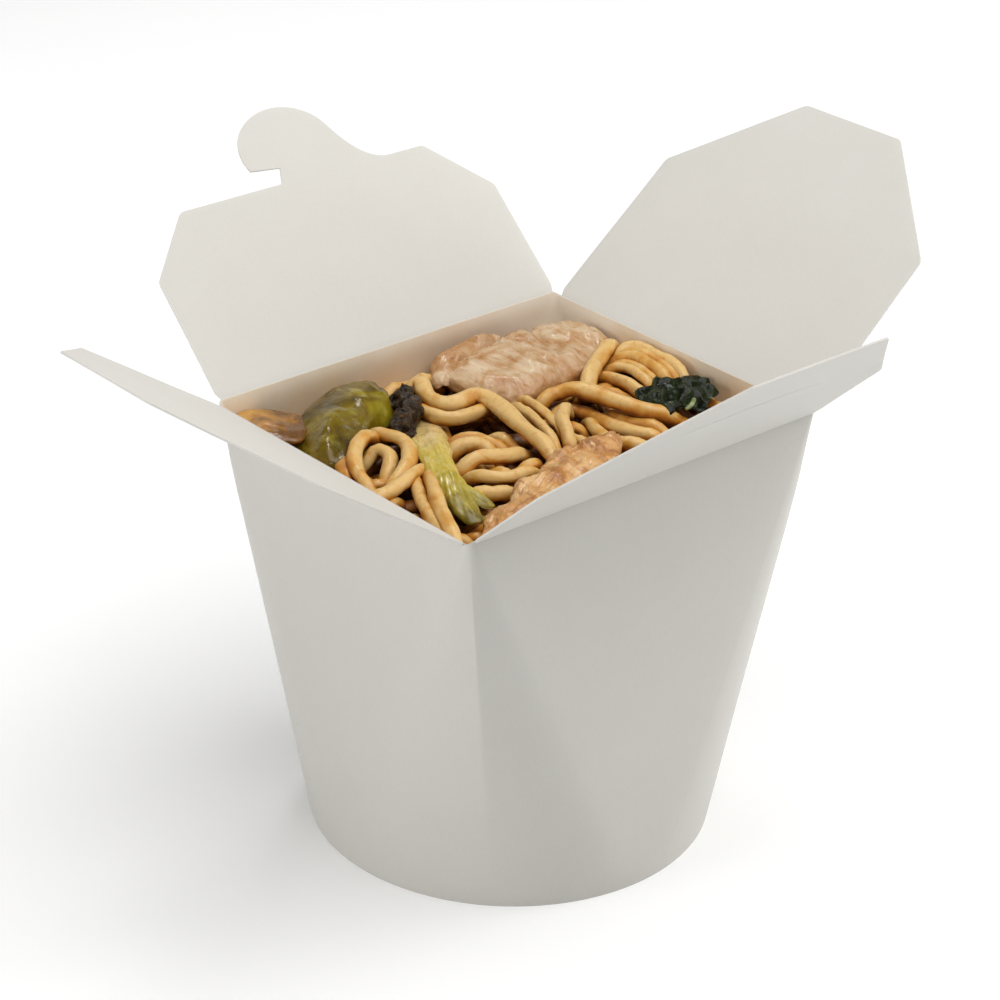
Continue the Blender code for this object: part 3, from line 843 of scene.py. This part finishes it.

# Noodles listed where they shape the top of the heap, as places of their middle line.
topNoodles = {
    "archway": [(-2.9, 32.6, 94.0), (-1.0, 32.0, 95.0), (-4.1, 26.8, 94.8), (-5.3, 22.2, 94.6),
                (-3.5, 18.7, 94.6), (-0.2, 17.7, 95.0), (3.4, 17.5, 96.0), (4.2, 12.9, 96.2),
                (2.9, 6.5, 96.0), (0.9, -0.8, 95.6), (0.0, -6.8, 95.0), (-0.5, -12.7, 94.0)],
    "underArc": [(-7.7, 25.1, 92.6), (-8.4, 19.8, 93.2), (-7.0, 15.5, 93.4), (-3.6, 14.0, 93.4),
                 (1.7, 14.4, 93.0), (6.1, 14.0, 92.4)],
    "curl": [(4.6, 35.2, 92.0), (2.4, 36.2, 92.8), (-1.3, 35.0, 92.0)],
    "stackA": [(-12.4, 8.1, 91.0), (-9.0, 7.7, 92.0), (-6.6, 5.3, 92.2), (-5.6, 1.7, 92.0),
               (-4.5, -1.4, 91.0)],
    "stackE": [(-14.0, 5.4, 91.6), (-10.6, 4.4, 92.2), (-8.4, 1.8, 92.2), (-7.6, -1.2, 91.6)],
    "stackB": [(-17.8, -4.5, 94.0), (-14.6, -5.0, 94.0), (-11.3, -5.6, 93.6), (-7.6, -6.4, 92.8),
               (-1.8, -5.6, 91.6)],
    "stackC": [(-20.3, -9.1, 93.2), (-18.3, -12.5, 93.3), (-15.2, -14.8, 93.2), (-11.0, -15.0, 93.0),
               (-7.4, -15.2, 92.4)],
    "stackD": [(-24.2, -13.8, 91.8), (-20.5, -17.1, 91.8), (-15.9, -18.8, 91.6)],
    "ringLeft": [(-40.8, 0.5, 92.6), (-39.9, 5.0, 93.6), (-37.5, 10.2, 94.4), (-33.1, 14.7, 95.0),
                 (-29.1, 16.6, 95.2), (-25.9, 17.1, 94.6)],
    "ringRight": [(-24.6, 19.5, 93.8), (-24.5, 14.7, 94.8), (-23.5, 11.4, 95.0), (-25.0, 6.8, 94.8),
                  (-28.5, 2.5, 94.4), (-33.0, -0.4, 93.8), (-37.2, -2.2, 92.6)],
    "ringInner": [(-30.3, 13.0, 92.6), (-28.5, 13.1, 93.2), (-28.1, 11.0, 93.4), (-29.2, 7.8, 93.0),
                  (-33.0, 4.5, 92.2)],
    "ringOuter": [(-35.4, 17.1, 92.0), (-38.7, 12.8, 92.6), (-42.0, 6.8, 92.0)],
    "crossing": [(-44.9, -5.4, 93.6), (-41.4, -5.7, 94.0), (-37.0, -4.9, 94.4), (-31.8, -2.6, 94.2),
                 (-26.4, -0.4, 93.0)],
    "fallA": [(-30.6, -2.2, 92.6), (-34.1, -7.8, 93.0), (-37.6, -14.0, 92.8), (-40.4, -20.7, 92.6),
              (-42.9, -27.3, 92.0)],
    "fallB": [(-28.2, -3.6, 93.4), (-32.4, -10.4, 94.4), (-36.6, -17.1, 94.4), (-40.1, -24.2, 94.2),
              (-43.7, -31.8, 93.4)],
    "upright": [(44.6, 17.6, 97.0), (38.6, 14.2, 97.0), (32.4, 10.4, 96.6), (26.9, 6.3, 95.6)],
    "longArc": [(15.6, 8.6, 93.8), (19.0, 7.8, 95.6), (22.0, 4.6, 96.2), (24.0, -0.4, 96.0),
                (25.6, -5.6, 95.6), (27.2, -10.0, 95.2), (29.2, -13.0, 94.8), (31.6, -14.4, 94.2),
                (33.4, -14.6, 93.4)],
    "underLong": [(16.0, 5.0, 91.6), (20.0, 4.7, 91.4), (22.2, 0.7, 91.2), (22.0, -4.3, 91.2),
                  (22.8, -9.1, 91.4), (23.8, -13.9, 91.8), (26.1, -18.3, 91.8)],
    "nextLong": [(24.6, -2.5, 91.4), (25.6, -7.4, 91.8), (27.0, -12.0, 92.2), (28.8, -16.4, 92.2)],
    "lowLoop": [(21.2, -0.9, 90.8), (18.3, -6.7, 90.8), (16.8, -12.7, 91.4), (17.4, -17.5, 92.2),
                (20.7, -20.5, 92.4)],
    "stub": [(16.5, 2.0, 94.0), (10.5, -3.3, 95.4), (7.7, -8.5, 94.4)],
}
bundleNoodles = {
    "bundleE": [(41.6, 12.6, 94.8), (43.9, 11.9, 96.2), (45.4, 10.2, 96.8), (45.4, 6.4, 97.0),
                (45.3, 1.8, 96.8), (45.0, -1.6, 96.0), (44.4, -5.0, 94.6)],
    "bundleF": [(38.6, 11.4, 93.8), (40.6, 10.5, 94.8), (42.0, 8.6, 95.2), (42.0, 5.3, 95.4),
                (41.6, 1.7, 95.2), (41.2, -1.8, 94.6)],
    "bundleA": [(43.0, 12.9, 96.0), (45.5, 13.0, 97.4), (47.2, 11.1, 98.0), (47.3, 6.9, 98.4),
                (47.2, 1.6, 98.2), (46.9, -1.9, 97.2), (46.3, -5.3, 95.6)],
    "bundleB": [(40.3, 12.0, 95.0), (42.4, 10.9, 96.0), (43.4, 9.3, 96.6), (43.6, 5.9, 96.8),
                (43.4, 2.1, 96.6), (43.0, -1.2, 96.0), (42.4, -4.7, 94.8)],
    "bundleC": [(37.2, 11.0, 94.2), (39.0, 10.2, 94.8), (40.4, 8.0, 95.0), (40.3, 4.8, 95.2),
                (39.8, 1.3, 95.0), (39.5, -2.3, 94.2)],
    "bundleD": [(33.0, 11.6, 93.2), (35.2, 9.3, 93.8), (36.5, 4.7, 93.8), (36.3, 0.9, 93.6),
                (36.4, -4.1, 92.6)],
}
thinNoodles = {
    "thinA": [(12.4, 13.0, 93.6), (11.8, 6.1, 94.2), (9.4, -2.6, 94.2), (8.0, -7.5, 93.4)],
    "thinB": [(9.4, 12.0, 93.2), (8.4, 4.9, 93.8), (5.8, -3.6, 93.6), (4.4, -8.4, 93.0)],
}


def smoothPath(points, step):
    ends = [points[0] * 2 - points[1]] + points + [points[-1] * 2 - points[-2]]
    dense = []
    for index in range(1, len(ends) - 2):
        a, b, c, d = ends[index - 1:index + 3]
        for part in range(12):
            t = part / 12
            dense.append(0.5 * (b * 2 + (c - a) * t + (a * 2 - b * 5 + c * 4 - d) * t ** 2
                                + (b * 3 - a - c * 3 + d) * t ** 3))
    dense.append(points[-1])
    lengths = [0.0]
    for one, two in zip(dense, dense[1:]):
        lengths.append(lengths[-1] + (two - one).length)
    count = max(int(lengths[-1] / step), 4)
    path = []
    cursor = 0
    for index in range(count + 1):
        want = lengths[-1] * index / count
        while cursor < len(dense) - 2 and lengths[cursor + 1] < want:
            cursor += 1
        span = max(lengths[cursor + 1] - lengths[cursor], 1e-6)
        path.append(dense[cursor].lerp(dense[cursor + 1], (want - lengths[cursor]) / span))
    return path


cell = noodle["cell"]
gridX = int(104 / cell)
gridY = int(92 / cell)
heapTop = np.full((gridX, gridY), noodle["floor"])
ceiling = np.zeros((gridX, gridY))


def cellOf(x, y):
    return int(round(x / cell + gridX / 2)), int(round(y / cell + gridY / 2))


def discCells(radius):
    reach = int(radius / cell)
    cells = []
    for i in range(-reach, reach + 1):
        for j in range(-reach, reach + 1):
            away = math.hypot(i, j) * cell
            if away < radius:
                cells.append((i, j, math.sqrt(radius * radius - away * away)))
    return np.array(cells)


heap = dict(
    level=94.4, rise=2.6, start=0.25,
    corner=(4.0, (0.62, 0.8)),  # how much lower in the far corner, and where that starts
    side=(4.5, (27.0, 32.0), (10.0, 4.0)),  # and along the far wall
    hollows=(((0.5, 14.2), 4.8, 9.0), ((-3.6, 13.0), 3.2, 8.0), ((2.8, 9.6), 3.0, 8.0),
             ((21.4, -8.6), 3.2, 8.0), ((-32.4, -19.6), 2.8, 7.0), ((-28.0, 14.0), 1.8, 4.0),
             ((39.0, 8.0), 2.4, 4.0), ((-15.4, -15.6), 2.4, 4.0)))


def heapLevel(x, y):
    back = x / box["length"] + y / box["width"]
    level = heap["level"] + heap["rise"] * min(max(back + heap["start"], 0.0), 1.0)
    drop, reach = heap["corner"]
    level -= drop * smoothStep(*reach, back)
    drop, reach, part = heap["side"]
    level -= drop * smoothStep(*reach, y) * smoothStep(*part, x)
    for place, reach, depth in heap["hollows"]:
        away = (Vector((x, y)) - Vector(place)).length
        level -= depth * smoothStep(reach + 1.5, reach - 1.0, away)
    return level


radius = noodle["thickness"] / 2
disc = discCells(radius)
towardEye = Vector((-0.6585, -0.7525))


def cellsAt(point, shape):
    i, j = cellOf(point.x, point.y)
    rows = np.clip(shape[:, 0].astype(int) + i, 0, gridX - 1)
    columns = np.clip(shape[:, 1].astype(int) + j, 0, gridY - 1)
    return rows, columns


def raiseHeap(grid, path, shape):
    for point in path:
        rows, columns = cellsAt(point, shape)
        grid[rows, columns] = np.maximum(grid[rows, columns], point.z + shape[:, 2])


def lowerCeiling(point, shape, height):
    rows, columns = cellsAt(point, shape)
    ceiling[rows, columns] = np.minimum(ceiling[rows, columns], height)


def keepSight(point, shape, start, steps, drop):  # the ceiling rises along the line of sight
    for away in range(1, steps):
        ahead = towardEye * (start + away * 0.9)
        nearer = Vector((point.x + ahead.x, point.y + ahead.y, point.z))
        lowerCeiling(nearer, shape, point.z - drop + noodle["sight"] * ahead.length)


def keepUnder(path, thick):  # later noodles pass under this one and leave it in sight
    shape = discCells(thick)
    for point in path:
        lowerCeiling(point, shape, point.z - shape[:, 2] + 0.3)
        keepSight(point, shape, thick, 12, 0.3 * thick)


def toppingPoints(shape):
    for index in range(41):
        t = index / 40
        aside, up = curveFrame(shape["path"], t)
        full = (1.0 - abs(2 * t - 1) ** shape["blunt"]) ** (1.0 / shape["blunt"])
        for part in range(-10, 11):
            a = part / 10
            point = curvePoint(shape["path"], t) + aside * a * shape["width"] / 2 * full
            half = shape["thickness"] / 2 * full * math.sqrt(max(1.0 - a * a, 0.0))
            yield point - up * shape["arch"] * full * a * a, half


def keepToppingsClear():
    small = discCells(1.3)
    for shape in toppings.values():
        for point, half in toppingPoints(shape):
            lowerCeiling(point, small, point.z - half - 0.1)
            keepSight(point, small, 0.8, 10, 0.0)


def tuckEnds(path, thick):  # the ends dive into the heap
    reach, drop = noodle["tuck"]
    ends = []
    for end, before in ((path[0], path[2]), (path[-1], path[-3])):
        way = end - before
        way.z = 0.0
        way = way.normalized() * reach
        place = insideWall(end.x + way.x, end.y + way.y, end.z - drop, thick + noodle["wallGap"])
        ends.append(Vector((place.x, place.y, end.z - drop)))
    return smoothPath([ends[0]] + path[1:-1:2] + [ends[1]], noodle["step"])


def layNoodles(rand):
    for i in range(gridX):
        for j in range(gridY):
            x, y = (i - gridX / 2) * cell, (j - gridY / 2) * cell
            heapTop[i, j] = noodle["floor"] + 1.5 * noise.noise(Vector((x, y, 0)) * 0.09)
            ceiling[i, j] = heapLevel(x, y) + 0.8 * noise.noise(Vector((x, y, 9)) * 0.07)
    laid = []
    groups = ((topNoodles, radius), (bundleNoodles, noodle["bundle"]), (thinNoodles, noodle["thin"]))
    for group, thick in groups:
        for name, points in group.items():
            path = smoothPath([Vector(point) for point in points], noodle["step"])
            bold = thick * (noodle["boldness"] if name in noodle["bold"] else 1.0)
            for point in path:
                point.z = underLid(point.x, point.z, bold * 1.1)
            keepUnder(path, bold)
            laid.append((tuckEnds(path, bold), bold))
    keepToppingsClear()
    tops = len(laid)
    for attempt in range(noodle["attempts"]):
        if len(laid) - tops >= noodle["fillers"]:
            break
        path = layOne(rand)
        if path:
            raiseHeap(heapTop, path, disc)
            laid.append((tuckEnds(path, radius), radius * rand.uniform(0.86, 1.04)))
    print("noodles laid", tops, len(laid), "attempts", attempt)
    for path, thick in laid[:tops]:
        raiseHeap(heapTop, path, discCells(thick))
    for shape in toppings.values():
        for point, half in toppingPoints(shape):
            i, j = cellOf(point.x, point.y)
            heapTop[i, j] = max(heapTop[i, j], point.z + half)
    return laid


def layOne(rand):  # wanders over low ground, drapes over what lies there, stays under the ceiling
    best = None
    for trial in range(noodle["trials"]):
        x, y = rand.uniform(-50, 50), rand.uniform(-44, 44)
        place = insideWall(x, y, 90.0, radius + noodle["wallGap"])
        i, j = cellOf(place.x, place.y)
        room = ceiling[i, j] - heapTop[i, j]
        if best is None or room > best[0]:
            best = (room, place)
    room, place = best
    if room < 2 * radius - noodle["squash"]:
        return None
    heading = rand.uniform(0, math.tau)
    bend = rand.uniform(-0.12, 0.12)
    flat = []
    for step in range(int(rand.uniform(26, 80) / noodle["step"])):
        flat.append(place.copy())
        place = place + Vector((math.cos(heading), math.sin(heading))) * noodle["step"]
        bend = min(max(bend + rand.gauss(0, 0.03), -0.2), 0.2)
        heading += bend * noodle["step"]
        kept = insideWall(place.x, place.y, 90.0, radius + noodle["wallGap"])
        if (kept - place).length > 0.01:
            inward = -place.normalized()
            turn = math.atan2(inward.y, inward.x) - heading
            turn = (turn + math.pi) % math.tau - math.pi
            heading += math.copysign(0.3, turn)
            bend = math.copysign(0.05, turn)
            place = kept
    heights = []
    for point in flat:
        rows, columns = cellsAt(point, disc)
        heights.append(float((heapTop[rows, columns] + disc[:, 2]).max()) - noodle["squash"])
    rest = list(heights)
    for turn in range(5):
        for index in range(1, len(rest) - 1):
            rest[index] = max(heights[index], (rest[index - 1] + rest[index + 1]) / 2 - 0.04)
    runs = []
    run = []
    for point, z in zip(flat, rest):
        rows, columns = cellsAt(point, disc)
        if ((z + disc[:, 2] * 0.9) <= ceiling[rows, columns] + 0.3).all():
            run.append(Vector((point.x, point.y, z)))
        else:
            runs.append(run)
            run = []
    runs.append(run)
    run = max(runs, key=len)
    if len(run) * noodle["step"] < noodle["least"]:
        return None
    for index, point in enumerate(run):
        place = insideWall(point.x, point.y, point.z, radius + noodle["wallGap"])
        run[index] = Vector((place.x, place.y, point.z))
    return run


def softenHeap():
    soft = heapTop.copy()
    for turn in range(7):
        soft = (soft + np.roll(soft, 1, 0) + np.roll(soft, -1, 0)) / 3
        soft = (soft + np.roll(soft, 1, 1) + np.roll(soft, -1, 1)) / 3
    return soft


def sweepNoodle(bm, layers, soft, path, thick, number):
    part = bmesh.new()
    ring = bmesh.ops.create_circle(part, segments=noodle["sides"], radius=1.0)["verts"]
    turns = [math.atan2(vert.co.y, vert.co.x) for vert in ring]
    first = (path[1] - path[0]).normalized()
    last = (path[-1] - path[-2]).normalized()
    stations = [(path[0] - first * thick * away, size) for away, size in noodle["ends"]]
    stations += [(point, 1.0) for point in path]
    stations += [(path[-1] + last * thick * away, size) for away, size in noodle["ends"][::-1]]
    side = first.cross(Vector((0, 0, 1)))
    side = side.normalized() if side.length > 0.1 else Vector((1, 0, 0))
    edges = part.edges[:]
    caps = [part.faces.new(ring)]
    under = {}
    for index, (place, size) in enumerate(stations):
        before = stations[max(index - 1, 0)][0]
        after = stations[min(index + 1, len(stations) - 1)][0]
        forward = (after - before).normalized()
        side = (side - forward * side.dot(forward)).normalized()
        up = side.cross(forward)
        if index:
            ring, edges = extrudeRing(part, ring, edges)[:2]
        swell = 1.0 + noodle["wobble"] * noise.noise(place * 0.2 + Vector((number * 3.1, 0, 0)))
        squash = noodle["flat"] + 0.14 * noise.noise(place * 0.12 + Vector((0, number * 1.7, 0)))
        twist = number + index * 0.05 + 1.2 * noise.noise(place * 0.08)
        for vert, turn in zip(ring, turns):
            u = signedPower(math.cos(turn), 2 / noodle["square"])
            v = signedPower(math.sin(turn), 2 / noodle["square"]) * squash
            across = (side * math.cos(twist) + up * math.sin(twist)) * u
            across += (up * math.cos(twist) - side * math.sin(twist)) * v
            point = place + across * thick * size * swell
            rough = 0.2 * noise.noise(point * 0.35) + 0.08 * noise.noise(point * 1.2)
            vert.co = point + across * rough * size
            # how far down its own strand the vertex lies, for painted shade on the underside
            under[vert] = (place.z + thick - vert.co.z) / (2 * thick)
    caps.append(part.faces.new(ring))
    bmesh.ops.poke(part, faces=caps)
    bmesh.ops.recalc_face_normals(part, faces=part.faces)
    shares = [min(max(under.get(vert, 0.5), 0.0), 1.0) for vert in part.verts]
    mesh = bpy.data.meshes.new("strand")
    part.to_mesh(mesh)
    part.free()
    start = len(bm.verts)
    bm.from_mesh(mesh)
    bm.verts.ensure_lookup_table()
    bpy.data.meshes.remove(mesh)
    tintLayer, paintedShadeLayer = layers
    for vert, share in zip(bm.verts[start:], shares):
        i, j = cellOf(vert.co.x, vert.co.y)
        level = soft[min(max(i, 0), gridX - 1), min(max(j, 0), gridY - 1)]
        vert[tintLayer] = (number * 0.618) % 1.0
        # painted shade: darker deeper under the heap's top and lower on each strand, partly as sauce
        # pooled there
        vert[paintedShadeLayer] = (level - vert.co.z) / 8.0 + 0.34 * smoothStep(0.25, 0.8, share) - 0.08


# the brown and deep colours are painted shade for the gaps in the heap, and the sauced colour is both
# sauce and painted shade
noodleFinish = dict(
    pale=(0.69, 0.45, 0.165), mid=(0.61, 0.315, 0.062), sauceAndShade=(0.47, 0.185, 0.024),
    brown=(0.27, 0.090, 0.012), deep=(0.15, 0.050, 0.008), gloss=(3.5, 3.0, 0.35, 0.68, 0.28, 0.6),
    bleed=(1.0, 0.5, 0.18))
# the core's dark brown is painted shade for noodles deep in the heap
shadedCoreFinish = dict(
    patch=(4.0, 4.0), grain=(4.0, 4.0), bump=(0.6, 0.8),
    stops=((0.35, (0.10, 0.036, 0.008)), (0.7, (0.25, 0.098, 0.020))),
    shader=dict(Roughness=0.35, Specular_IOR_Level=0.3))
coreHeights = (7.2, 40.0, 84.0)


def noodleMaterial():
    material, tree = startMaterial(
        "noodleDough", Specular_IOR_Level=0.35, Coat_Weight=0.18, Coat_Roughness=0.28,
        Subsurface_Weight=0.12, Subsurface_Scale=0.0015)
    shader = tree.nodes["Principled BSDF"]
    shader.inputs["Subsurface Radius"].default_value = noodleFinish["bleed"]
    tint = attributeNode(tree, "tint")
    # the depth attribute is painted shade, partly pooled sauce: it darkens strand undersides and the
    # deeper strands
    depth = attributeNode(tree, "depth")
    blotch = mathNode(tree, "MULTIPLY_ADD", noiseNode(tree, 5.0, 4.0, 0.6), 0.96, -0.48)
    place = mathNode(tree, "ADD", mathNode(tree, "MULTIPLY_ADD", depth, 1.1, 0.38), blotch)
    place = mathNode(tree, "ADD", place, mathNode(tree, "MULTIPLY_ADD", tint, 0.2, -0.1))
    color = rampNode(tree, place, (0.14, noodleFinish["pale"]), (0.32, noodleFinish["mid"]),
                     (0.52, noodleFinish["sauceAndShade"]), (0.72, noodleFinish["brown"]),
                     (0.96, noodleFinish["deep"]))
    fine = noiseNode(tree, 1.4, 4.0)
    color = mixNode(tree, rangeNode(tree, fine, 0.5, 0.76, 0.0, 0.45), color, noodleFinish["sauceAndShade"])
    coverWith(tree, color, noodleFinish["gloss"], (noiseNode(tree, 2.2, 3.0), 0.2, 0.8),
              (fine, 0.06, 0.6))
    return material


def makeNoodles():
    laid = layNoodles(random.Random(noodle["seed"]))
    soft = softenHeap()
    bm = bmesh.new()
    layers = (bm.verts.layers.float.new("tint"), bm.verts.layers.float.new("depth"))
    for number, (path, thick) in enumerate(laid):
        sweepNoodle(bm, layers, soft, path, thick, number)
    piece = finishPiece("noodleStrands", bm, (noodleMaterial(),), angle=180.0,
                        recalc=False)
    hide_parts("noodles")


def makeCore():  # the mass under the strands, dark brown as painted shade for the noodles deep in the heap
    bm = bmesh.new()
    ring = bmesh.ops.create_circle(bm, segments=96, radius=box["baseRadius"], cap_ends=True)["verts"]
    face = bm.faces[:][0]
    for number, z in enumerate(coreHeights):
        if number:
            made = bmesh.ops.extrude_face_region(bm, geom=[face])["geom"]
            face = [item for item in made if isinstance(item, bmesh.types.BMFace)][0]
            ring = [item for item in made if isinstance(item, bmesh.types.BMVert)]
        for vert, angle in zip(ring, ringAngles(ring)):
            point = wallPoint(angle, z / box["endFold"], box["paper"] + 0.7)[0]
            vert.co = (point.x, point.y, z)
    finishPiece("noodleCore", bm, (plainFood("paintedShadeCore", shadedCoreFinish),))


makeNoodles()
makeCore()
print("noodles made")


# ---- floor, light and camera ----

def makeFloor():
    material, tree = startMaterial(
        "paleFloor", Roughness=0.9, Specular_IOR_Level=0.1, Emission_Strength=0.14)
    color = rampNode(tree, noiseNode(tree, 60.0, 2.0), (0.3, 0.90), (0.7, 0.91))
    setShader(tree, Base_Color=color)
    bm = bmesh.new()
    bmesh.ops.create_grid(bm, x_segments=2, y_segments=2, size=3.0)
    newObject("floor", bm, (material,))


lights = {
    "key": dict(place=(0.1, -0.42, 1.4), size=1.9, power=23.5),
    "glint": dict(place=(0.35, 0.45, 0.9), size=0.22, power=1.4),
    "left": dict(place=(-1.3, 0.4, 0.24), size=0.9, power=10.2),
    "right": dict(place=(1.35, -0.5, 0.22), size=0.9, power=12.5),
}
worldLight = dict(color=(1.0, 0.995, 0.985), strength=0.13)
view = dict(azimuth=-41.19, elevation=27.06, distance=657.26, lens=106.51, roll=1.07,
            aim=(-4.42, 0.0, 78.45))


def makeLights():
    world = bpy.data.worlds.new("studio")
    bpy.context.scene.world = world
    world.use_nodes = True
    background = world.node_tree.nodes["Background"]
    background.inputs["Color"].default_value = (*worldLight["color"], 1.0)
    background.inputs["Strength"].default_value = worldLight["strength"]
    middle = Vector((0, 0, 0.07))  # the middle of the box, which the lights face
    for name, light in lights.items():
        data = bpy.data.lights.new(name, "AREA")
        data.shape = "DISK"
        data.size = light["size"]
        data.energy = light["power"]
        lamp = bpy.data.objects.new(name, data)
        lamp.location = light["place"]
        lamp.rotation_euler = (middle - lamp.location).to_track_quat("-Z", "Y").to_euler()
        bpy.context.scene.collection.objects.link(lamp)


def makeCamera():
    azimuth, elevation = math.radians(view["azimuth"]), math.radians(view["elevation"])
    back = Vector((math.sin(azimuth) * math.cos(elevation), -math.cos(azimuth) * math.cos(elevation),
                   math.sin(elevation)))
    aim = boxPlace + Vector(view["aim"]) * mm
    data = bpy.data.cameras.new("camera")
    data.lens = view["lens"]
    data.sensor_width = 36.0
    camera = bpy.data.objects.new("camera", data)
    right = Vector((0, 0, 1)).cross(back).normalized()
    up = back.cross(right)
    roll = math.radians(view["roll"])
    columns = (right * math.cos(roll) + up * math.sin(roll),
               up * math.cos(roll) - right * math.sin(roll), back)
    turned = Matrix(columns).transposed().to_4x4()
    camera.matrix_world = Matrix.Translation(aim + back * view["distance"] * mm) @ turned
    bpy.context.scene.collection.objects.link(camera)
    bpy.context.scene.camera = camera


makeFloor()
makeLights()
makeCamera()
bpy.context.scene.view_settings.view_transform = "Standard"

print("scene ready")
